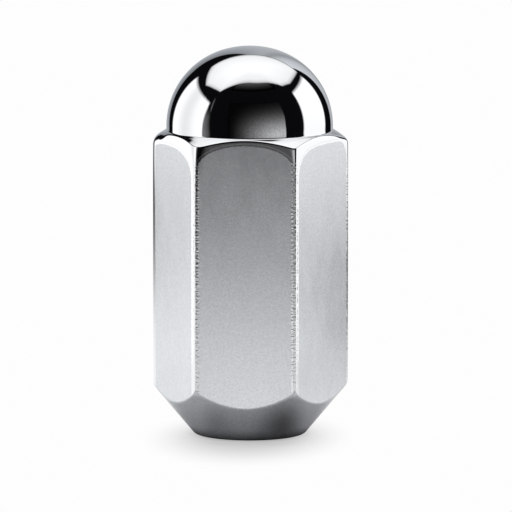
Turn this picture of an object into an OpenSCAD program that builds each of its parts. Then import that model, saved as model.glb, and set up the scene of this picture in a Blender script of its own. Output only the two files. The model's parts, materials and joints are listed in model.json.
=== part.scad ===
// Closed-end acorn lug nut, one solid: a hexagonal body under a round dome,
// a conical seat below, and a blind hole for the stud's thread up the middle.
// Millimetres. Z runs up the axis, and the origin is the middle of the ring it stands on.

/* [Body] */
// Width of the body across two opposite flats, which is the wrench size
across_flats = 21; // [20.7:0.05:24]
// Radius of the rounding down each upright corner
corner_r = 0.7; // [0.3:0.05:3]
// Height of the whole nut, from the ring it stands on to the top of the dome
height = 47.55; // [43:0.05:60]

/* [Dome and shoulder] */
// Radius of the dome at its foot, where its sides stand upright
dome_r = 10.15; // [8:0.05:10.4]
// Radius of the flatter curve over the dome's crown
crown_r = 11.4; // [10.5:0.05:12.5]
// Angle above level at which the curve of the dome's side passes into the crown
crown_angle = 74; // [60:1:80]
// Height of the upright band between the dome and the ledge
band_h = 0.7; // [0.1:0.05:3]
// Slope of the ledge round the foot of the dome, in degrees below level
ledge_angle = 28; // [5:0.5:40]
// Radius of the rounding between the ledge and the upright corners
shoulder_r = 1.7; // [0.2:0.05:2]

/* [Conical seat] */
// Angle of the seat's cone, measured from side to side
seat_angle = 80; // [50:1:110]
// Width of the cone at the foot, measured as if the foot's edge were sharp
seat_end_d = 13.5; // [13.3:0.05:17]
// Radius of the rounding between the cone and the upright corners
seat_edge_r = 1.4; // [0.2:0.05:5]
// Radius of the rounding between the cone and the ring that the nut stands on
foot_edge_r = 0.7; // [0.1:0.05:1]

/* [Threaded hole] */
// Nominal width of the thread
thread_d = 12; // [8:0.25:12]
// Pitch of the thread
thread_pitch = 1.5; // [0.75:0.05:2]
// Width of the countersink at the mouth of the hole
mouth_d = 12.4; // [12:0.05:12.8]
// Angle of the countersink, measured from side to side
mouth_angle = 90; // [60:1:120]
// Depth of the hole's straight wall, measured from the foot
hole_depth = 34; // [20:0.5:36]
// Angle of the drill's point at the closed end of the hole
drill_point_angle = 118; // [90:1:140]

/* [Hidden] */
$fn = 96;

// A short overrun, so that a cut passes through the face it starts from
overrun = 0.5;

// The hexagon has a corner on the X axis, and each corner is rounded about its own centre
side_angle = 60;
half_side = side_angle / 2;
corner_angles = [0 : side_angle : 300];
corner_centre = (across_flats / 2 - corner_r) / cos(half_side);
reach = corner_centre + corner_r;

// The dome's side is curved about a centre a little off the axis, and its crown about one on
// the axis, lower down: the two curves touch at the crown's angle
side_centre = (crown_r - dome_r) / (1 / cos(crown_angle) - 1);
side_r = dome_r - side_centre;
crown_drop = side_centre * tan(crown_angle);

// Heights of the dome's foot, of the crown's centre and of the top of the ledge
crown_z = height - crown_r;
dome_z = crown_z + crown_drop;
ledge_z = dome_z - band_h;

// Where the ledge would meet the corners' upright line, and how far its rounding runs each way
shoulder_z = ledge_z - (reach - dome_r) * tan(ledge_angle);
shoulder_run = shoulder_r * tan((90 - ledge_angle) / 2);

// Where the cone would meet the corners' upright line, and how far its rounding runs each way
seat_slope = seat_angle / 2;
seat_end_r = seat_end_d / 2;
seat_edge_z = (reach - seat_end_r) / tan(seat_slope);
seat_edge_run = seat_edge_r * tan(seat_slope / 2);

// How far the foot's rounding runs along the ring and along the cone
foot_run = foot_edge_r * tan((90 - seat_slope) / 2);

// The hole is left at the thread's minor width, as for an ISO metric thread
minor_share = 1.0825;
bore_r = (thread_d - minor_share * thread_pitch) / 2;
mouth_slope = mouth_angle / 2;
mouth_depth = (mouth_d / 2 - bore_r) / tan(mouth_slope);
point_depth = bore_r / tan(drill_point_angle / 2);

// Outline of the body seen from above
module hexagon_outline() {
    polygon([
        for (corner = corner_angles, side = [-half_side, half_side])
            corner_centre * [cos(corner), sin(corner)]
                + corner_r * [cos(corner + side), sin(corner + side)]
    ]);
    for (corner = corner_angles)
        rotate(corner)
            translate([corner_centre, 0])
                circle(corner_r);
}

// Half of the dome's outline: the curve of its side, and the crown's above that
module dome_outline() {
    translate([side_centre, dome_z])
        intersection() {
            circle(side_r);
            square(side_r);
        }
    translate([0, crown_z])
        intersection() {
            circle(crown_r);
            square([crown_r * cos(crown_angle), crown_r]);
        }
}

// Half of the outline that is turned about the axis, with its roundings
module turned_outline() {
    polygon([
        [0, 0],
        [seat_end_r - foot_run, 0],
        [seat_end_r + foot_run * sin(seat_slope), foot_run * cos(seat_slope)],
        [reach - seat_edge_run * sin(seat_slope), seat_edge_z - seat_edge_run * cos(seat_slope)],
        [reach, seat_edge_z + seat_edge_run],
        [reach, shoulder_z - shoulder_run],
        [reach - shoulder_run * cos(ledge_angle), shoulder_z + shoulder_run * sin(ledge_angle)],
        [dome_r, ledge_z],
        [dome_r, dome_z],
        [0, dome_z]
    ]);
    translate([seat_end_r - foot_run, foot_edge_r])
        circle(foot_edge_r);
    translate([reach - seat_edge_r, seat_edge_z + seat_edge_run])
        circle(seat_edge_r);
    translate([reach - shoulder_r, shoulder_z - shoulder_run])
        circle(shoulder_r);
    dome_outline();
}

// Countersink, straight wall and drill's point, cut up from below the foot
module stud_hole() {
    rotate_extrude()
        polygon([
            [0, -overrun],
            [mouth_d / 2 + overrun * tan(mouth_slope), -overrun],
            [bore_r, mouth_depth],
            [bore_r, hole_depth],
            [0, hole_depth + point_depth]
        ]);
}

module lug_nut() {
    color("silver")
        difference() {
            intersection() {
                linear_extrude(height)
                    hexagon_outline();
                rotate_extrude()
                    turned_outline();
            }
            stud_hole();
        }
}

lug_nut();
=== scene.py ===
import json
import math

import bmesh
import bpy
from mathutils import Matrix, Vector


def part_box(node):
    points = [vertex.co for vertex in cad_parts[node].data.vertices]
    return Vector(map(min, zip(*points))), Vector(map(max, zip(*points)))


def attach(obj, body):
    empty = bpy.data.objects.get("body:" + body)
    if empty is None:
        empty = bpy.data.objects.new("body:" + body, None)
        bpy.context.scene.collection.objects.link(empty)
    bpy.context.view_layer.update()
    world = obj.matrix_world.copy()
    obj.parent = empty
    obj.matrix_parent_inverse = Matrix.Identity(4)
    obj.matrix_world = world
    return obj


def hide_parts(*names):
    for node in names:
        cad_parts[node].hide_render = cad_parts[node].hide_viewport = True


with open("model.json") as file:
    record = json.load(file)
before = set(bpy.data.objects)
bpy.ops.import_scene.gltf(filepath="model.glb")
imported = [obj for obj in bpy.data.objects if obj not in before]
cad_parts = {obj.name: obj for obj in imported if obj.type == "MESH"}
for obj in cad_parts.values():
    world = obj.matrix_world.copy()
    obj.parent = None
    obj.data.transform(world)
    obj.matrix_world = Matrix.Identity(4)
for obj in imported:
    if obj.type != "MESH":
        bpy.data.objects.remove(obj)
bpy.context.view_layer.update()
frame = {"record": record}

mm = 0.001
scene = bpy.context.scene
scene.view_settings.view_transform = "Standard"

# What the solid model fixes: its box, and the stud's hole
nutLow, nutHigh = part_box("lug_nut")
nutHeight = nutHigh.z
flatDistance = nutHigh.y            # from the axis to a wrench flat
cornerDistance = nutHigh.x          # from the axis to the middle of a rounded corner
mounts = {mount["name"]: mount for mount in frame["record"]["mounts"]}
boreRadius = mounts["stud_thread"]["dims"]["r_mm"] * mm
print("frame loaded: nut", [round(side / mm, 2) for side in nutHigh - nutLow], "mm")


cameraRig = {
    "azimuth": 2.9,                 # degrees that the camera stands to the right of the front flat's normal
    "elevation": 7.7,               # degrees above the table
    "distance": 18.93,              # this and the next two are shares of the nut's height
    "lookAside": 0.0163,
    "lookUp": 0.4539,
    "lens": 516.6,                  # millimetres, and so is the next one
    "sensor": 36,
}


def viewAxes(azimuth, elevation):
    # right, up and towards-the-camera directions of a camera that stands there
    a, e = math.radians(azimuth), math.radians(elevation)
    right = Vector((math.cos(a), math.sin(a), 0))
    toward = Vector((math.sin(a) * math.cos(e), -math.cos(a) * math.cos(e), math.sin(e)))
    return right, toward.cross(right), toward


rightWay, upWay, towardWay = viewAxes(cameraRig["azimuth"], cameraRig["elevation"])


def addCamera(rig):
    camera = bpy.data.objects.new("camera", bpy.data.cameras.new("camera"))
    scene.collection.objects.link(camera)
    target = (rightWay * rig["lookAside"] + upWay * rig["lookUp"]) * nutHeight
    camera.location = target + towardWay * rig["distance"] * nutHeight
    camera.rotation_mode = "QUATERNION"
    camera.rotation_quaternion = (-towardWay).to_track_quat("-Z", "Y")
    camera.data.sensor_width = rig["sensor"]
    camera.data.lens = rig["lens"]
    scene.camera = camera


addCamera(cameraRig)
print("camera set")


plainWhite = (1, 1, 1, 1)
commonNoise = (0.3, 0.7)            # most of a noise's values lie between these two


class NodeBench:
    # A short way to add nodes to one tree and wire them together

    def __init__(self, tree):
        self.tree = tree
        self.tree.nodes.clear()

    def add(self, kind, inputs=None, **settings):
        node = self.tree.nodes.new(kind)
        for name, value in settings.items():
            setattr(node, name, value)
        for name, value in (inputs or {}).items():
            if isinstance(value, bpy.types.NodeSocket):
                self.tree.links.new(value, node.inputs[name])
            else:
                node.inputs[name].default_value = value
        return node

    def maths(self, operation, first, second=0.0, clamp=False):
        node = self.add("ShaderNodeMath", {0: first, 1: second}, operation=operation, use_clamp=clamp)
        return node.outputs[0]

    def spread(self, value, low, high, toLow=0.0, toHigh=1.0, smooth=False):
        node = self.add(
            "ShaderNodeMapRange",
            {"Value": value, "From Min": low, "From Max": high, "To Min": toLow, "To Max": toHigh},
            interpolation_type="SMOOTHSTEP" if smooth else "LINEAR",
        )
        return node.outputs["Result"]

    def mixShaders(self, share, first, second):
        return self.add("ShaderNodeMixShader", {0: share, 1: first, 2: second}).outputs[0]

    def mixColours(self, share, first, second, limited=True):
        # its own sockets: 0 the share, 6 and 7 the colours, and 2 the mixed colour
        node = self.add(
            "ShaderNodeMix", {0: share, 6: first, 7: second}, data_type="RGBA", clamp_factor=limited)
        return node.outputs[2]

    def noise(self, place, settings, stretch=None):
        # settings are the spots to the metre, the detail and its roughness
        if stretch:
            place = self.add("ShaderNodeMapping", {"Vector": place, "Scale": stretch}).outputs["Vector"]
        inputs = dict(zip(("Scale", "Detail", "Roughness"), settings))
        return self.add("ShaderNodeTexNoise", {"Vector": place, **inputs}).outputs["Fac"]

    def spreadNoise(self, noise, toLow, toHigh):
        return self.spread(noise, *commonNoise, toLow, toHigh)

    def attribute(self, name):
        return self.add("ShaderNodeAttribute", attribute_name=name).outputs["Fac"]

    def vectorMaths(self, operation, first, second=(0, 0, 0)):
        node = self.add("ShaderNodeVectorMath", {0: first, 1: second}, operation=operation)
        return node.outputs["Value" if operation == "LENGTH" else "Vector"]

    def output(self, shader, kind="ShaderNodeOutputMaterial"):
        self.add(kind, {"Surface": shader})


def newMaterial(name):
    material = bpy.data.materials.new(name)
    material.use_nodes = True
    return material, NodeBench(material.node_tree)


nutShape = {                        # millimetres and degrees
    "domeRadius": 10.15,            # at the dome's foot
    "crownRadius": 11.4,            # the flatter curve over the top
    "crownAngle": 74,               # where the curve of the side passes into it, above level
    "bandHeight": 0.46,
    "bandHollow": 0.22,             # hollow rounding where the dome meets the ledge
    "hollowShare": 0.3,             # and the most of the ledge's width that it takes
    "ledgeAngle": 30.5,
    "shoulders": (0.5, 1.1, 0.5, 0.5, 1.5, 0.5),    # rounding over each upright corner, counted round
    "ledgeEdge": 0.4,               # rounding where the ledge meets a flat
    "ledgeEdges": (0.4, 1.0, 0.4, 0.4, 1.6, 0.4),   # and where it meets a corner
    "ledgeEdgesFrom": (0.5, 0.5, 0.5, 0.5, 0.25, 0.5),      # shares of the way to the corner between
    "ledgeEdgesTo": (0.9, 0.85, 0.9, 0.9, 0.6, 0.9),        # which it changes
    "cornerTops": (1.0, 0.9, 1.8, 1.8, 2.2, 2.2),   # each corner's own rounding just below the ledge
    "flareFrom": 36.2,              # height from which a corner narrows down to its usual rounding
    "flareLength": 1.6,
    "seatAngle": 80,
    "seatEndWidth": 13.5,
    "seatEdgeRounding": 1.4,
    "flatEnd": 0.35,                # rounding where a flat meets the seat
    "softCorner": 2.0,              # the rounding of the upright corner on -X, rounder than the others
    "softCornerAt": 4,              # and which corner that is
    "footRounding": 0.7,
    "mouthWidth": 12.4,
    "holeDepth": 34,
    "drillAngle": 118,
    "threadWidth": 12,
    "threadPitch": 1.5,
    "threadEnd": 31,                # height at which the thread's turns have run out
}

# The satin panel on each flat, counted round from the front one: where its sides lie across
# the flat, and how its top rounds over, all in millimetres from the flat's middle line and the foot
satinPanels = [
    {"left": -5.72, "right": 5.62, "peak": 0, "leftReach": 5.85, "rightReach": 5.85,
     "top": 36.52, "drop": 2.9, "power": 2.05},
    {"left": -5.3, "right": 5.5, "peak": 3.2, "leftReach": 8.5, "rightReach": 2.35,
     "top": 36.2, "drop": 5.2, "power": 3.6},
    {"left": -5.1, "right": 5.3, "peak": 1.5, "leftReach": 7, "rightReach": 4.2,
     "top": 36.1, "drop": 4, "power": 2.4},
    {"left": -5.6, "right": 5.5, "peak": -0.5, "leftReach": 5.3, "rightReach": 6.1,
     "top": 36.4, "drop": 3, "power": 2.1},
    {"left": -5.4, "right": 4.7, "peak": -1.2, "leftReach": 5, "rightReach": 6.6,
     "top": 36, "drop": 3.8, "power": 2.4},
    {"left": -4.7, "right": 5.06, "peak": -2.05, "leftReach": 4.97, "rightReach": 7.15,
     "top": 35.85, "drop": 3.8, "power": 2.4},
]

meshSteps = {
    "flat": 24,                     # columns across a flat
    "corner": 5,                    # columns across half a rounded corner
    "arc": 24,                      # rows over a rounding, unless said otherwise
    "crown": 10,
    "dome": 40,
    "hollow": 8,
    "ledge": 26,
    "wallTop": 16,
    "wall": 8,
    "seatEdge": 16,
    "seat": 6,
    "foot": 8,
    "drill": 3,
}
guard = 0.03                        # a narrow row beside each rounding keeps the flat side's shading flat
wallTopShare = 0.22                 # the upper share of a flat that has the panel's rounded top
turnWeight = 1.2                    # how much a turn of one radian counts against a millimetre of length
fitRounds = 4                       # rounds in which the ledge and the wall's top are fitted to each other
mergeDistance = 0.002               # millimetres within which points are one
panelLimit = 3.0                    # millimetres beyond which the distance from a panel's edge is all one
tiny = 1e-9
mirrorMark = -1                     # finishes of a row: mirror polish all round,
seatMark = 2                        # and the seat's satin

# The dome: its side is curved about a centre a little off the axis, its crown about one on the axis
crownAngle = math.radians(nutShape["crownAngle"])
sideMiddle = (nutShape["crownRadius"] - nutShape["domeRadius"]) / (1 / math.cos(crownAngle) - 1)
crownMiddle = nutHeight / mm - nutShape["crownRadius"]
domeFoot = crownMiddle + sideMiddle * math.tan(crownAngle)

faceTurn = 60                       # degrees from one flat to the next
halfTurn = math.radians(faceTurn / 2)
regularCorner = (flatDistance / math.cos(halfTurn) - cornerDistance) / (1 / math.cos(halfTurn) - 1) / mm


def shares(count):
    return [step / count for step in range(count + 1)]


def smoothStep(value):
    share = max(0.0, min(1.0, value))
    return share * share * (3 - 2 * share)


def arc(centreR, centreZ, radius, fromAngle, toAngle, count=meshSteps["arc"]):
    # points (r, z) of an arc in a column's own plane, angles in radians above level
    angles = [fromAngle + (toAngle - fromAngle) * share for share in shares(count)]
    return [(centreR + radius * math.cos(a), centreZ + radius * math.sin(a)) for a in angles]


def evened(points, count):
    # the same path in count steps, closer together where it turns
    places, heading = [0.0], None
    for (r0, z0), (r1, z1) in zip(points, points[1:]):
        length = math.hypot(r1 - r0, z1 - z0)
        turn = 0.0
        if length > tiny:
            newHeading = math.atan2(z1 - z0, r1 - r0)
            if heading is not None:
                turn = abs(math.remainder(newHeading - heading, math.tau))
            heading = newHeading
        places.append(places[-1] + length + turnWeight * turn)
    result, segment = [], 0
    for share in shares(count):
        place = share * places[-1]
        while segment < len(points) - 2 and places[segment + 1] < place:
            segment += 1
        span = places[segment + 1] - places[segment]
        part = min(1.0, (place - places[segment]) / span) if span > 0 else 0.0
        (r0, z0), (r1, z1) = points[segment], points[segment + 1]
        result.append((r0 + (r1 - r0) * part, z0 + (z1 - z0) * part))
    return result


def slopeToWall(start, slope, bigRounding, cornerR, smallRounding, wallR):
    # From start out and down a straight slope, over the big rounding that ends upright at
    # cornerR, and over a small rounding onto the wall at wallR, which may cut it short
    startR, startZ = start
    bigR = cornerR - bigRounding
    bigZ = (startZ - bigRounding * math.cos(slope)
            - (bigR - startR + bigRounding * math.sin(slope)) * math.tan(slope))
    ballR = wallR - smallRounding
    freeRadius = bigRounding - smallRounding
    normal = math.pi / 2 - slope
    if ballR > bigR + freeRadius * math.cos(normal):
        across = min(1.0, (ballR - bigR) / freeRadius)
        meet = math.acos(across)
        ballZ = bigZ + freeRadius * math.sin(meet)
        path = [start] + arc(bigR, bigZ, bigRounding, normal, meet)
    else:
        meet = normal
        ballZ = (startZ - smallRounding * math.cos(slope)
                 - (ballR - startR + smallRounding * math.sin(slope)) * math.tan(slope))
        path = [start]
    return path + arc(ballR, ballZ, smallRounding, meet, 0)


def cornerPoint(radius, share):
    # (across, along, out) on a corner's rounding, from the end of the flat at 0 to the corner's middle
    # at 1: across runs in the surface, along and out are the point before it is turned to its flat
    flat = flatDistance / mm
    end = (flat - radius) * math.tan(halfTurn)
    turn = halfTurn * share
    return end + radius * turn, end + radius * math.sin(turn), flat - radius + radius * math.cos(turn)


def faceColumns(leftRadius, rightRadius):
    # the same for each upright column of one flat with half a corner at either side
    cornerShares = shares(meshSteps["corner"])
    left = [cornerPoint(leftRadius, share) for share in reversed(cornerShares)]
    right = [cornerPoint(rightRadius, share) for share in cornerShares]
    leftEnd, rightEnd = guard - left[-1][0], right[0][0] - guard
    places = [leftEnd + (rightEnd - leftEnd) * share for share in shares(meshSteps["flat"])]
    flat = [(place, place, flatDistance / mm) for place in places]
    return [(-across, -along, out) for across, along, out in left] + flat + right


def wallDistance(angle, radius):
    # from the axis to the wall, at an angle from the flat's middle, beside a corner of this rounding
    flat = flatDistance / mm
    if flat * math.tan(angle) <= (flat - radius) * math.tan(halfTurn):
        return flat / math.cos(angle)
    middle = (flat - radius) / math.cos(halfTurn)
    fromCorner = halfTurn - angle
    return middle * math.cos(fromCorner) + math.sqrt(radius ** 2 - (middle * math.sin(fromCorner)) ** 2)


def cornerRounding(low, top, height):
    # a corner's rounding at a height: it grows from low to top just below the ledge
    below = max(0.0, nutShape["flareFrom"] - height)
    return low + (top - low) * math.exp(-below / nutShape["flareLength"])


def panelDistance(panel, across, height):
    # how far inside the satin panel's outline a point on the flat lies, in millimetres, or outside if
    # below 0
    reach = panel["rightReach"] if across > panel["peak"] else panel["leftReach"]
    x = abs(across - panel["peak"]) / reach
    y = max(0.0, (height - panel["top"] + panel["drop"]) / panel["drop"])
    power = panel["power"]
    spread = (x ** power + y ** power) ** (1 / power)
    if spread > tiny:
        slopeX = (x / spread) ** (power - 1) / reach
        slopeY = (y / spread) ** (power - 1) / panel["drop"]
        rounded = (1 - spread) / max(math.hypot(slopeX, slopeY), tiny)
    else:
        rounded = panel["drop"]
    inside = min(panelLimit, rounded, across - panel["left"], panel["right"] - across)
    return max(-panelLimit, inside)


def outerRows(wallAt, cornerR, shoulder, ledgeEdge):
    # (r, z, finish) down the outside of one column, in millimetres; finish is one of the marks, or
    # None on the wall, where the satin panel's outline decides; wallAt gives the wall's distance
    # from the axis at a height, cornerR the nearest corner's
    shape, steps = nutShape, meshSteps
    domeR = shape["domeRadius"]
    ledgeZ = domeFoot - shape["bandHeight"]
    slope = math.radians(shape["ledgeAngle"])
    crown = arc(0, crownMiddle, shape["crownRadius"], math.pi / 2, crownAngle, steps["crown"])
    side = arc(sideMiddle, domeFoot, domeR - sideMiddle, crownAngle, 0, steps["dome"])
    polished = crown + side[1:]
    room = (wallAt(ledgeZ) - domeR) / (1 - math.sin(slope))
    hollow = min(shape["bandHollow"], room * shape["hollowShare"])
    ledgeEdge = min(ledgeEdge, room - hollow)
    hollowZ = ledgeZ + hollow * (math.cos(slope) - (1 - math.sin(slope)) * math.tan(slope))
    hollowArc = arc(domeR + hollow, hollowZ, hollow, math.pi, 1.5 * math.pi - slope, steps["hollow"])
    polished += hollowArc
    wallTopZ = ledgeZ
    for _ in range(fitRounds):
        ledge = slopeToWall(hollowArc[-1], slope, shoulder, cornerR, ledgeEdge, wallAt(wallTopZ))
        wallTopZ = ledge[-1][1]
    polished += evened(ledge, steps["ledge"])[1:]

    # The seat's cone and its roundings, worked out upside down with the same function
    coneSlope = math.radians(90 - shape["seatAngle"] / 2)
    foot, endR = shape["footRounding"], shape["seatEndWidth"] / 2
    footCentreR = endR - foot * math.tan((math.pi / 2 - math.radians(shape["seatAngle"] / 2)) / 2)
    coneNormal = math.pi / 2 - coneSlope
    footArc = arc(footCentreR, foot, foot, -coneNormal, -math.pi / 2, steps["foot"])
    coneStart = (footArc[0][0], -footArc[0][1])
    seatEdge, flatEnd = shape["seatEdgeRounding"], shape["flatEnd"]
    cone = slopeToWall(coneStart, coneSlope, seatEdge, cornerR, flatEnd, wallAt(0))
    lower = [(r, -z) for r, z in reversed(cone)]
    wallEndZ = lower[0][1]

    wall = [share * wallTopShare for share in shares(steps["wallTop"])]
    wall += [wallTopShare + (1 - wallTopShare) * share for share in shares(steps["wall"])[1:]]
    guardShare = guard / (wallTopZ - wallEndZ)
    wall[0], wall[-1] = guardShare, 1 - guardShare
    heights = [wallTopZ + (wallEndZ - wallTopZ) * share for share in wall]
    mouthR = shape["mouthWidth"] / 2
    seat = evened(lower, steps["seatEdge"] + steps["seat"]) + footArc[1:]
    seat += [(mouthR + guard, 0), (mouthR, 0)]
    rows = [(r, z, mirrorMark) for r, z in polished]
    rows += [(wallAt(z), z, None) for z in heights]
    return rows + [(r, z, seatMark) for r, z in seat]


# One turn of the thread, as (share of the pitch, share of the depth), from the middle of a root
threadTurn = [
    (0, 1), (0.05, 0.99), (0.075, 0.95), (0.22, 0.5), (0.36, 0.05), (0.39, 0),
    (0.5, 0), (0.61, 0), (0.64, 0.05), (0.78, 0.5), (0.925, 0.95), (0.95, 0.99),
]


def threadRow(index, turned):
    # (r, z) of one row of the right-hand thread, which climbs by a pitch each time round
    shape, pitch = nutShape, nutShape["threadPitch"]
    turn, part = divmod(index, len(threadTurn))
    along, cut = threadTurn[part]
    z = pitch * (turn + along - 1 + turned)
    z = max(0.0, min(shape["holeDepth"], z))
    bore = boreRadius / mm
    fade = max(0.0, min(1.0, (shape["threadEnd"] - z) / pitch))
    r = bore + (shape["threadWidth"] / 2 - bore) * cut * fade
    return max(r, shape["mouthWidth"] / 2 - z), z


def makeNut():
    corners = [regularCorner] * len(satinPanels)    # each is the one to the right of its flat
    corners[nutShape["softCornerAt"]] = nutShape["softCorner"]
    columns = []                    # (flat's number, across, cos, sin, share of a full turn)
    outside = []
    acrossEnds = []
    for face in range(len(satinPanels)):
        normal = math.radians(faceTurn * face - 90)
        local = faceColumns(corners[face - 1], corners[face])
        acrossEnds.append(local[-1][0])
        for across, along, out in local[:-1]:
            turn = math.atan2(along, out)
            angle = turn + normal
            turned = (angle + math.radians(2 * faceTurn)) / math.tau
            columns.append((face, across, math.cos(angle), math.sin(angle), turned))
            corner = face if along > 0 else face - 1
            low, top = corners[corner], nutShape["cornerTops"][corner]
            start, end = nutShape["ledgeEdgesFrom"][corner], nutShape["ledgeEdgesTo"][corner]
            share = smoothStep((abs(turn) / halfTurn - start) / (end - start))
            ledgeEdge = nutShape["ledgeEdge"]
            ledgeEdge += (nutShape["ledgeEdges"][corner] - ledgeEdge) * share
            outside.append(outerRows(
                lambda z: wallDistance(abs(turn), cornerRounding(low, top, z)),
                wallDistance(halfTurn, low), nutShape["shoulders"][corner], ledgeEdge))

    mesh = bmesh.new()
    satin = mesh.loops.layers.float.new("satinDistance")
    seat = mesh.loops.layers.float.new("seatShare")

    def point(column, r, z):
        return mesh.verts.new((r * column[2] * mm, r * column[3] * mm, z * mm))

    def skin(vertices, finishes, j, rowShift, material):
        # a strip of quads between column j and the next; rowShift joins a climbing row after a full turn
        face, across = columns[j][0], columns[j][1]
        following = (j + 1) % len(columns)
        nextAcross = columns[following][1] if columns[following][0] == face else acrossEnds[face]
        shift = rowShift if following == 0 else 0
        for i in range(len(vertices[j]) - 1 - rowShift):
            corners = [(j, i, across), (j, i + 1, across),
                       (following, i + 1 + shift, nextAcross), (following, i + shift, nextAcross)]
            made = mesh.faces.new([vertices[column][row] for column, row, _ in corners])
            made.smooth = True
            made.material_index = material
            for loop, (column, row, place) in zip(made.loops, corners):
                finish = finishes[column][row] if finishes else 1
                loop[seat] = 1.0 if finish == seatMark else 0.0
                if finish is None:
                    height = vertices[column][row].co.z / mm
                    finish = panelDistance(satinPanels[face], place, height)
                loop[satin] = finish

    outsidePoints = [
        [point(column, r, z) for r, z, _ in rows] for column, rows in zip(columns, outside)]
    finishes = [[finish for _, _, finish in rows] for rows in outside]
    for j in range(len(columns)):
        skin(outsidePoints, finishes, j, 0, 0)

    # The thread starts a turn below the foot and runs on a turn beyond the hole's straight wall
    turnRows = len(threadTurn)
    turns = math.ceil(nutShape["holeDepth"] / nutShape["threadPitch"]) + 2
    threadPoints = [
        [point(column, *threadRow(i, column[4])) for i in range(turns * turnRows + 1)]
        for column in columns
    ]
    for j in range(len(columns)):
        skin(threadPoints, None, j, turnRows, 1)

    bore, depth = boreRadius / mm, nutShape["holeDepth"]
    pointDepth = bore / math.tan(math.radians(nutShape["drillAngle"] / 2))
    drillRows = [(bore * (1 - share), depth + pointDepth * share) for share in shares(meshSteps["drill"])]
    drillPoints = [[point(column, *row) for row in drillRows] for column in columns]
    for j in range(len(columns)):
        skin(drillPoints, None, j, 0, 1)

    bmesh.ops.remove_doubles(mesh, verts=mesh.verts, dist=mergeDistance * mm)
    openEdges = sum(1 for edge in mesh.edges if len(edge.link_faces) != 2)
    print("nut mesh:", len(mesh.faces), "faces,", openEdges, "open edges")
    data = bpy.data.meshes.new("acorn_nut")
    mesh.to_mesh(data)
    mesh.free()
    nut = bpy.data.objects.new("acorn_nut", data)
    scene.collection.objects.link(nut)
    return nut


chromeFinish = {                    # noises are (spots to the metre, detail, its roughness)
    "mirrorColour": (0.9, 0.91, 0.925, 1),
    "satinColour": (0.82, 0.84, 0.87, 1),
    "mirrorRoughness": 0.03,
    "satinRoughness": 0.22,
    "roughnessSpread": 0.02,
    "satinScatter": 0.18,           # share of the light that the satin scatters every way
    "grain": (4600, 3, 0.6),
    "grainDepth": 0.000003,         # metres
    "grainShade": 0.08,             # how much lighter and darker the grains are
    "clouds": (420, 3, 0.55),       # slow patches in the satin
    "cloudStretch": (1, 1, 0.5),
    "cloudShade": 0.05,
    "edge": (4200, 2, 0.5),         # the satin's edge wanders
    "edgeStretch": (1, 1, 1.5),
    "edgeBlur": 0.05,               # millimetres over which satin turns to polish
    "raggedness": 0.12,             # millimetres that the edge wanders
    "rimHeight": 0.0335,            # above this, a thin satin line runs round outside each panel
    "rimPlace": -0.27,              # millimetres outside the panel
    "rimWidth": 0.1,
    "rimStrength": 0.5,
    "seatPaintedShade": 0.77,              # painted shade: the seat's satin is darker, as the downward seat mirrors the shadow under the nut
    "seatGrain": 0.16,              # and coarser
    "wornFrom": 0.01184,            # the corners' polish is rough beyond this distance from the axis
    "wornTo": 0.0119,
    "wornBelow": 0.0345,            # and below this height
    "worn": (3500, 2, 0.5),
    "wornStretch": (0.6, 0.6, 1),
    "wornDepth": 0.000035,
}


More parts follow.
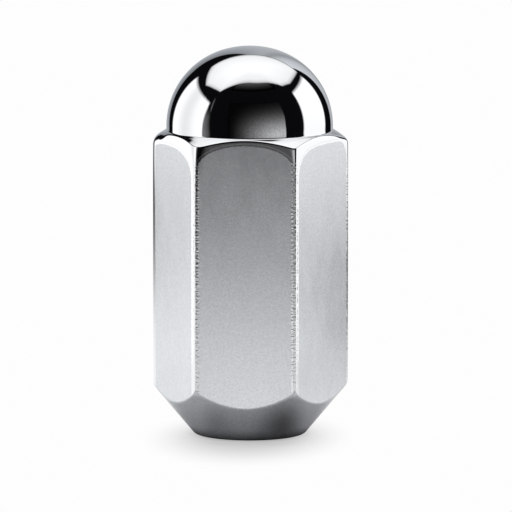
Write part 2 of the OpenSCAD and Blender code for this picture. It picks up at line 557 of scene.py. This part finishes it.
def chromeMaterial(look):
    material, bench = newMaterial("chrome_polished_and_satin")
    place = bench.add("ShaderNodeTexCoord").outputs["Object"]
    height = bench.add("ShaderNodeSeparateXYZ", {0: place}).outputs["Z"]

    # Where it is satin: inside the panels' outlines, which wander a little, and along their rims
    distance = bench.attribute("satinDistance")
    wander = bench.noise(place, look["edge"], look["edgeStretch"])
    wander = bench.spreadNoise(wander, -look["raggedness"] / 2, look["raggedness"] / 2)
    inside = bench.maths("ADD", distance, wander)
    satin = bench.spread(inside, -look["edgeBlur"], look["edgeBlur"], smooth=True)
    fromRim = bench.maths("ABSOLUTE", bench.maths("SUBTRACT", distance, look["rimPlace"]))
    rim = bench.maths(
        "MULTIPLY", bench.spread(fromRim, look["rimWidth"], 0, 0, look["rimStrength"], smooth=True),
        bench.maths("GREATER_THAN", height, look["rimHeight"]))
    satin = bench.maths("MAXIMUM", satin, rim)

    # The satin's shade: fine grain and slow clouds, coarser on the seat, and darker there with painted
    # shade
    grain = bench.noise(place, look["grain"])
    clouds = bench.noise(place, look["clouds"], look["cloudStretch"])
    onSeat = bench.attribute("seatShare")
    grainShade = bench.spread(onSeat, 0, 1, look["grainShade"], look["seatGrain"])
    shade = bench.maths("MULTIPLY", bench.spreadNoise(grain, -1, 1), grainShade)
    shade = bench.maths("ADD", shade, bench.spreadNoise(clouds, 1 - look["cloudShade"], 1))
    # painted shade on the seat
    shade = bench.maths("MULTIPLY", shade, bench.spread(onSeat, 0, 1, 1, look["seatPaintedShade"]))
    satinColour = bench.mixColours(shade, (0, 0, 0, 1), look["satinColour"], limited=False)
    colour = bench.mixColours(satin, look["mirrorColour"], satinColour)
    metallic = bench.maths("SUBTRACT", 1.0, bench.maths("MULTIPLY", satin, look["satinScatter"]))

    middle, reach = look["satinRoughness"], look["roughnessSpread"]
    rougher = bench.spreadNoise(clouds, middle - reach, middle + reach)
    rougher = bench.maths("SUBTRACT", rougher, look["mirrorRoughness"])
    roughness = bench.maths("ADD", look["mirrorRoughness"], bench.maths("MULTIPLY", satin, rougher))
    bump = bench.add("ShaderNodeBump", {
        "Strength": satin, "Distance": look["grainDepth"], "Height": grain})

    # Wear down the upright corners
    fromAxis = bench.vectorMaths("LENGTH", bench.vectorMaths("MULTIPLY", place, (1, 1, 0)))
    worn = bench.maths(
        "MULTIPLY", bench.spread(fromAxis, look["wornFrom"], look["wornTo"], smooth=True),
        bench.maths("LESS_THAN", height, look["wornBelow"]))
    wornBump = bench.add("ShaderNodeBump", {
        "Strength": worn, "Distance": look["wornDepth"],
        "Height": bench.noise(place, look["worn"], look["wornStretch"]), "Normal": bump.outputs[0]})
    shader = bench.add("ShaderNodeBsdfPrincipled", {
        "Base Color": colour, "Metallic": metallic, "Roughness": roughness,
        "Normal": wornBump.outputs[0]})
    bench.output(shader.outputs[0])
    return material


threadFinish = {
    "colour": (0.5, 0.5, 0.5, 1),
    "roughness": 0.32,
    "roughnessSpread": 0.06,
    "toolMarks": (9000, 2, 0.5),
    "toolMarkStretch": (0.15, 0.15, 1),
    "toolMarkDepth": 0.000002,
}


def threadMaterial(look):
    material, bench = newMaterial("cut_thread_steel")
    place = bench.add("ShaderNodeTexCoord").outputs["Object"]
    marks = bench.noise(place, look["toolMarks"], look["toolMarkStretch"])
    middle, reach = look["roughness"], look["roughnessSpread"]
    roughness = bench.spreadNoise(marks, middle - reach, middle + reach)
    bump = bench.add("ShaderNodeBump", {
        "Strength": 1.0, "Distance": look["toolMarkDepth"], "Height": marks})
    shader = bench.add("ShaderNodeBsdfPrincipled", {
        "Base Color": look["colour"], "Metallic": 1.0, "Roughness": roughness,
        "Normal": bump.outputs[0]})
    bench.output(shader.outputs[0])
    return material


nut = makeNut()
nut.data.materials.append(chromeMaterial(chromeFinish))
nut.data.materials.append(threadMaterial(threadFinish))
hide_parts("lug_nut")
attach(nut, "root")
print("nut made")


table = {                           # metres, and degrees round from the front, to the right above 0
    "size": 0.45,
    "edges": 96,                    # it is a disc with this many straight edges
    "middle": (0, -0.04, 0),
    "edgeFrom": 0.25,               # it fades away between these distances from its middle
    "edgeTo": 0.34,
    "colour": (0.86, 0.865, 0.87, 1),
    "white": (0.985, 0.985, 0.985, 1),
    "contactFrom": 0.0064,          # a painted contact shadow: the dark line where the nut meets the table
    "contactTo": 0.0083,
    "contactShade": 0.04,
    "shadowMiddle": (0, -0.004, 0),
    "shadowStretch": (1.8, 1, 0),   # the shadow's painted reach is longer towards the front than to the sides
    "shadowFrom": 0.006,
    "shadowTo": 0.024,
    "shadowSheen": 0.45,            # a painted sheen: white glow that the table shows even close to the nut
    "mirroredFrom": 0.009,          # the nut mirrors a table whose painted glow turns pale between these distances
    "mirroredTo": 0.022,
    "turnMiddle": (0, -0.014, 0),   # directions are measured round this point
    "lane": -3,                     # painted light: the table's front glows bright along this direction, darker beside it
    "laneFrom": 13,
    "laneTo": 26,
    "sides": {                      # the painted glow's level, the distance at which half is left, and how steeply it falls
        "lane": (1, 0.168, 4),
        "front": (0.7, 0.155, 5),
        "left": (1, 0.15, 5),
    },
    "rightDip": 0.97,               # painted shade: to the right of the back the glow is darker round this distance
    "rightDipPlace": 0.16,
    "rightDipWidth": 0.085,
    "backFrom": 85,                 # where the front gives way to the back
    "backTo": 95,
    "gapFrom": 0.055,               # beyond this distance the table leaves the side softboxes in sight
    "gapTo": 0.08,
    "rightGap": (75, 83, 117.9, 119),       # where that starts, is full, is still full, and ends
    "leftGap": (-125.3, -123.9, -80, -75),
    "spots": (                      # painted shadow, seen only in the nut's mirrors: the nut's shadow is deepest here: middle, radius and depth
        ((0.0053, -0.0068, 0), 0.006, 0.9),
        ((-0.0048, -0.0072, 0), 0.004, 0.3),
    ),
}


def stageMesh(name, points, faces, material):
    data = bpy.data.meshes.new(name)
    data.from_pydata(points, [], faces)
    made = bpy.data.objects.new(name, data)
    scene.collection.objects.link(made)
    data.materials.append(material)
    return made


def tableMaterial(look):
    material, bench = newMaterial("pale_table")
    geometry = bench.add("ShaderNodeNewGeometry")
    place = geometry.outputs["Position"]
    path = bench.add("ShaderNodeLightPath")
    mirrors = bench.maths(
        "ADD", path.outputs["Is Glossy Ray"], path.outputs["Is Transmission Ray"], clamp=True)

    def away(middle, stretch=(1, 1, 0)):
        moved = bench.vectorMaths("SUBTRACT", place, middle)
        return bench.vectorMaths("LENGTH", bench.vectorMaths("MULTIPLY", moved, stretch))

    def falling(distance, level, reach, power):
        ratio = bench.maths("POWER", bench.maths("DIVIDE", distance, reach), power)
        return bench.maths("DIVIDE", level, bench.maths("ADD", 1.0, ratio))

    def turnTo(share, value, other):
        step = bench.maths("SUBTRACT", other, value)
        return bench.maths("ADD", value, bench.maths("MULTIPLY", share, step))

    def between(value, rise, full, fullEnd, fallen):
        rising = bench.spread(value, rise, full, smooth=True)
        return bench.maths("MULTIPLY", rising, bench.spread(value, fallen, fullEnd, smooth=True))

    fromNut = away((0, 0, 0))
    fromMiddle = bench.vectorMaths("SUBTRACT", place, look["turnMiddle"])
    sides = bench.add("ShaderNodeSeparateXYZ", {0: fromMiddle}).outputs
    turn = bench.maths("ARCTAN2", sides["X"], bench.maths("MULTIPLY", sides["Y"], -1.0))
    turn = bench.maths("DEGREES", turn)

    # The table itself, with a painted contact shadow in its colour where the nut touches it
    paintedShadow = bench.spread(
        fromNut, look["contactFrom"], look["contactTo"], look["contactShade"], 1, smooth=True)
    # Painted shadow spots, which only mirror rays see
    for middle, radius, depth in look["spots"]:
        spot = bench.spread(away(middle), 0, radius, 1 - depth, 1, smooth=True)
        spot = bench.maths("MAXIMUM", spot, bench.maths("SUBTRACT", 1.0, mirrors))
        paintedShadow = bench.maths("MULTIPLY", paintedShadow, spot)
    # painted shadow: the table's own colour turns dark by this share
    colour = bench.mixColours(paintedShadow, (0, 0, 0, 1), look["colour"])
    surface = bench.add("ShaderNodeBsdfDiffuse", {"Color": colour}).outputs[0]

    # What the camera sees: the table's soft shadow, cut off at a painted reach and under a painted sheen of
    # white glow, on a table as white as the background
    fromShadow = away(look["shadowMiddle"], look["shadowStretch"])
    seenWhite = bench.spread(
        fromShadow, look["shadowFrom"], look["shadowTo"], look["shadowSheen"], 1, smooth=True)
    seenWhite = bench.maths("MULTIPLY", seenWhite, path.outputs["Is Camera Ray"])

    # What the nut mirrors: a painted glow that stands in for the lit table, dark close by, pale further
    # out, and darker again far from it
    mirroredPaintedGlow = bench.spread(fromNut, look["mirroredFrom"], look["mirroredTo"], smooth=True)
    mirroredPaintedGlow = bench.maths("MULTIPLY", mirroredPaintedGlow, mirrors)
    lane, front, left = (falling(fromNut, *look["sides"][side]) for side in ("lane", "front", "left"))
    fromLane = bench.maths("ABSOLUTE", bench.maths("SUBTRACT", turn, look["lane"]))
    fromDip = bench.maths("SUBTRACT", fromNut, look["rightDipPlace"])
    fromDip = bench.maths("POWER", bench.maths("DIVIDE", fromDip, look["rightDipWidth"]), 2.0)
    dip = bench.maths("EXPONENT", bench.maths("MULTIPLY", fromDip, -1.0))
    right = bench.maths("SUBTRACT", 1.0, bench.maths("MULTIPLY", dip, look["rightDip"]))
    besideLane = bench.spread(fromLane, look["laneFrom"], look["laneTo"], smooth=True)
    leftBack = bench.spread(turn, -look["backFrom"], -look["backTo"], smooth=True)
    rightBack = bench.spread(turn, look["backFrom"], look["backTo"], smooth=True)
    strength = turnTo(besideLane, lane, front)
    strength = turnTo(leftBack, strength, left)
    strength = turnTo(rightBack, strength, right)
    strength = bench.maths("MAXIMUM", strength, path.outputs["Is Camera Ray"])

    white = bench.add("ShaderNodeEmission", {"Color": look["white"], "Strength": strength}).outputs[0]
    top = bench.mixShaders(bench.maths("ADD", seenWhite, mirroredPaintedGlow, clamp=True), surface, white)
    gap = bench.maths("ADD", between(turn, *look["rightGap"]), between(turn, *look["leftGap"]))
    gap = bench.maths("MULTIPLY", gap, bench.spread(fromNut, look["gapFrom"], look["gapTo"], smooth=True))
    present = bench.maths(
        "MULTIPLY", bench.spread(away(look["middle"]), look["edgeTo"], look["edgeFrom"], smooth=True),
        bench.maths("SUBTRACT", 1.0, gap))
    fromAbove = bench.maths("SUBTRACT", 1.0, geometry.outputs["Backfacing"])
    clear = bench.add("ShaderNodeBsdfTransparent").outputs[0]
    bench.output(bench.mixShaders(bench.maths("MULTIPLY", present, fromAbove), clear, top))
    return material


def addTable(look):
    angles = [math.tau * share for share in shares(look["edges"])[:-1]]
    ring = [Vector((math.cos(a), math.sin(a), 0)) * look["size"] for a in angles]
    stageMesh("table", ring, [list(range(len(ring)))], tableMaterial(look))


room = {
    "fill": 0.3,                    # light from all round
    "background": (0.985, 0.985, 0.985, 1),
    "curtainDistance": 3.0,
    "curtainSteps": 4,
    "curtainColour": (0.009, 0.009, 0.011, 1),
}


def setWorld(look):
    world = bpy.data.worlds.new("white_room")
    world.use_nodes = True
    scene.world = world
    bench = NodeBench(world.node_tree)
    fill = bench.add("ShaderNodeBackground", {"Color": plainWhite, "Strength": look["fill"]}).outputs[0]
    seen = bench.add("ShaderNodeBackground", {"Color": look["background"], "Strength": 1.0}).outputs[0]
    path = bench.add("ShaderNodeLightPath")
    backdropRays = bench.maths("ADD", path.outputs["Is Camera Ray"], path.outputs["Is Glossy Ray"])
    backdropRays = bench.maths("ADD", backdropRays, path.outputs["Is Transmission Ray"], clamp=True)
    bench.output(bench.mixShaders(backdropRays, fill, seen), "ShaderNodeOutputWorld")


def addCurtain(look):
    # A black tent round the set: only mirrors see it, so the chrome shows black between the lights
    material, bench = newMaterial("black_curtain")
    bench.output(bench.add("ShaderNodeBsdfDiffuse", {"Color": look["curtainColour"]}).outputs[0])
    mesh = bmesh.new()
    bmesh.ops.create_icosphere(mesh, subdivisions=look["curtainSteps"], radius=look["curtainDistance"])
    data = bpy.data.meshes.new("black_curtain")
    mesh.to_mesh(data)
    mesh.free()
    curtain = bpy.data.objects.new("black_curtain", data)
    scene.collection.objects.link(curtain)
    data.materials.append(material)
    curtain.visible_camera = False
    curtain.visible_diffuse = False
    curtain.visible_shadow = False


cardSteps = 12                      # rows and columns of faces inside a card's soft edges

# The softboxes and cards round the nut. Each has four corners, bottom left, bottom right, top right
# and top left, as azimuth (degrees to the right of the resting camera), elevation and brightness,
# seen from the middle of the dome along the camera's own axes. Soft is the share of a card over
# which its sides fade, but for the hard ones, bow the degrees by which its top bulges, and distance
# is in metres. Dip darkens a stripe up the card, by that share, at that place and with that width
cards = {
    "left_softbox": {
        "corners": [(-140, -35, 1.15), (-73.4, -35, 1.15), (-60.8, 29, 1.2), (-129.5, 40, 1.2)],
        "bow": 4, "soft": 0.05, "dip": 0.24, "dipPlace": 0.5, "dipWidth": 0.24},
    "right_softbox": {
        "corners": [(82, -35, 0.98), (130, -35, 0.98), (130.5, 40, 1.2), (77, 40, 1.2)],
        "bow": 2.5, "soft": 0.05},
    "right_apron": {
        "corners": [(66, -35, 1.1), (88, -35, 1.1), (88, -9, 1.1), (66, -9, 1.1)], "soft": 0.06},
    "left_flag": {
        "corners": [(-80, -35, 0.34), (-55.5, -35, 0.04), (-56, 21, 0.03), (-72, 21, 0.22)],
        "soft": 0.2, "distance": 1.1},
    "left_streak": {
        "corners": [(-59, 15, 0.09), (-56, 15, 0.09), (-55.5, 37, 0.09), (-58.5, 37, 0.09)],
        "soft": 0.3, "distance": 1.05},
    "right_wall": {
        "corners": [(159, -20, 0.27), (180, -20, 0.67), (180, 60, 0.3), (135.5, 52, 0.85)],
        "soft": 0.04, "hardSides": ("right",), "distance": 1.5, "tint": (0.95, 0.98, 1.03, 1),
        "dip": 0.35, "dipPlace": 0.6, "dipWidth": 0.13},
    "left_wall": {
        "corners": [(180, -20, 0.67), (215, -20, 0.4), (209, 27, 0.2), (180, 60, 0.3)],
        "soft": 0.06, "hardSides": ("left",), "distance": 1.5, "tint": (0.93, 0.98, 1.05, 1)},
}


def skyPoint(azimuth, elevation, distance):
    a, e = math.radians(azimuth), math.radians(elevation)
    way = (rightWay * math.sin(a) + towardWay * math.cos(a)) * math.cos(e) + upWay * math.sin(e)
    return domeMiddle + way * distance


def lightMaterial(name, look):
    # glows as brightly as the mesh's own brightness layer says
    material, bench = newMaterial(name)
    strength = bench.attribute("brightness")
    tint, speckle = look.get("tint", plainWhite), look.get("speckle")
    if speckle:
        place = bench.add("ShaderNodeTexCoord").outputs["Object"]
        cloth = bench.spreadNoise(bench.noise(place, look["weave"]), 1 - speckle, 1 + speckle)
        strength = bench.maths("MULTIPLY", strength, cloth)
    bench.output(bench.add("ShaderNodeEmission", {"Color": tint, "Strength": strength}).outputs[0])
    return material


def addLight(name, points, faces, brightness, material):
    made = stageMesh(name, points, faces, material)
    layer = made.data.attributes.new("brightness", "FLOAT", "POINT")
    layer.data.foreach_set("value", brightness)
    made.visible_camera = False
    return made


def addCard(name, look, falloff=None):
    bottomLeft, bottomRight, topRight, topLeft = (Vector(corner) for corner in look["corners"])
    soft = look["soft"]
    inner = [soft + (1 - 2 * soft) * share for share in shares(cardSteps)]
    cuts = [0, soft / 2] + inner + [1 - soft / 2, 1]
    points, brightness = [], []
    for v in cuts:
        for u in cuts:
            azimuth, elevation, glow = bottomLeft.lerp(bottomRight, u).lerp(topLeft.lerp(topRight, u), v)
            elevation += look.get("bow", 0) * 4 * u * (1 - u) * v
            points.append(skyPoint(azimuth, elevation, look.get("distance", 1.0)))
            if look.get("dip"):
                glow *= 1 - look["dip"] * math.exp(-((u - look["dipPlace"]) / look["dipWidth"]) ** 2)
            if falloff:
                glow *= falloff(u, v)
            for side, place in {"left": u, "right": 1 - u, "bottom": v, "top": 1 - v}.items():
                if side not in look.get("hardSides", ()):
                    glow *= smoothStep(place / soft)
            brightness.append(glow)
    count = len(cuts)
    faces = [(row * count + i, row * count + i + 1, (row + 1) * count + i + 1, (row + 1) * count + i)
             for row in range(count - 1) for i in range(count - 1)]
    return addLight(name, points, faces, brightness, lightMaterial(name, look))


# Rough cloth low in front of the nut, brighter downwards and to the right
frontCloth = {
    "corners": [(-30, -20, 0.6), (54.4, -20, 0.6), (46.4, 32, 0.6), (-30, 32, 0.6)],
    "soft": 0.015, "distance": 1.2, "speckle": 0.3, "weave": (24, 4, 0.7),
    "sideways": 1.25, "upwards": 2.2, "steepness": 5.5, "least": 0.003,     # how its glow falls off
}

frontGlow = {                       # a faint haze below the top softbox
    "corners": [(-38, 50, 0.1), (54, 50, 0.1), (46, 65, 0.1), (-30, 65, 0.1)],
    "soft": 0.08, "hardSides": ("top",), "distance": 1.4,
}


def clothFalloff(u, v):
    look = frontCloth
    across = smoothStep(u) ** look["sideways"]
    return look["least"] + across * math.exp(-look["steepness"] * v ** look["upwards"])


topSoftbox = {
    "height": 1.0,                  # metres above the dome
    "corners": [(-0.81, 0.567), (-0.525, 0.525), (-0.349, 0.498), (-0.2, 0.474), (0, 0.466),
                (0.09, 0.468), (0.18, 0.458), (0.29, 0.42), (0.38, 0.38), (0.5, 0.345),
                (0.763, 0.278), (0.88, 0), (0.8, -0.75), (0.05, -0.7), (-0.58, -0.6), (-1, -0.05)],
    "rings": [(0.04, 0), (-0.02, 0.68), (-0.12, 0.97), (-0.3, 1.03)],     # (beyond the corners, brightness)
    "middle": 1.2,
}


def addTopSoftbox(look):
    # corners lie to the right of the dome and towards the camera
    count = len(look["corners"])
    centre = domeMiddle + upWay * look["height"]
    points, brightness, faces = [], [], []
    for level, (beyond, glow) in enumerate(look["rings"]):
        for i, corner in enumerate(look["corners"]):
            side, toward = Vector(corner) * (1 + beyond / Vector(corner).length)
            points.append(centre + (rightWay * side + towardWay * toward))
            brightness.append(glow)
            if level:
                outer, inner, following = (level - 1) * count, level * count, (i + 1) % count
                faces.append((outer + i, outer + following, inner + following, inner + i))
    points.append(centre)
    brightness.append(look["middle"])
    last = (len(look["rings"]) - 1) * count
    faces += [(last + i, last + (i + 1) % count, len(points) - 1) for i in range(count)]
    addLight("top_softbox", points, faces, brightness, lightMaterial("top_softbox", look))


domeMiddle = Vector((0, 0, domeFoot * mm))
addTable(table)
setWorld(room)
addCurtain(room)
for name, look in cards.items():
    addCard(name, look)
addCard("front_cloth", frontCloth, falloff=clothFalloff).visible_diffuse = False
addCard("front_glow", frontGlow, falloff=lambda u, v: v * v)
addTopSoftbox(topSoftbox)
print("studio set")
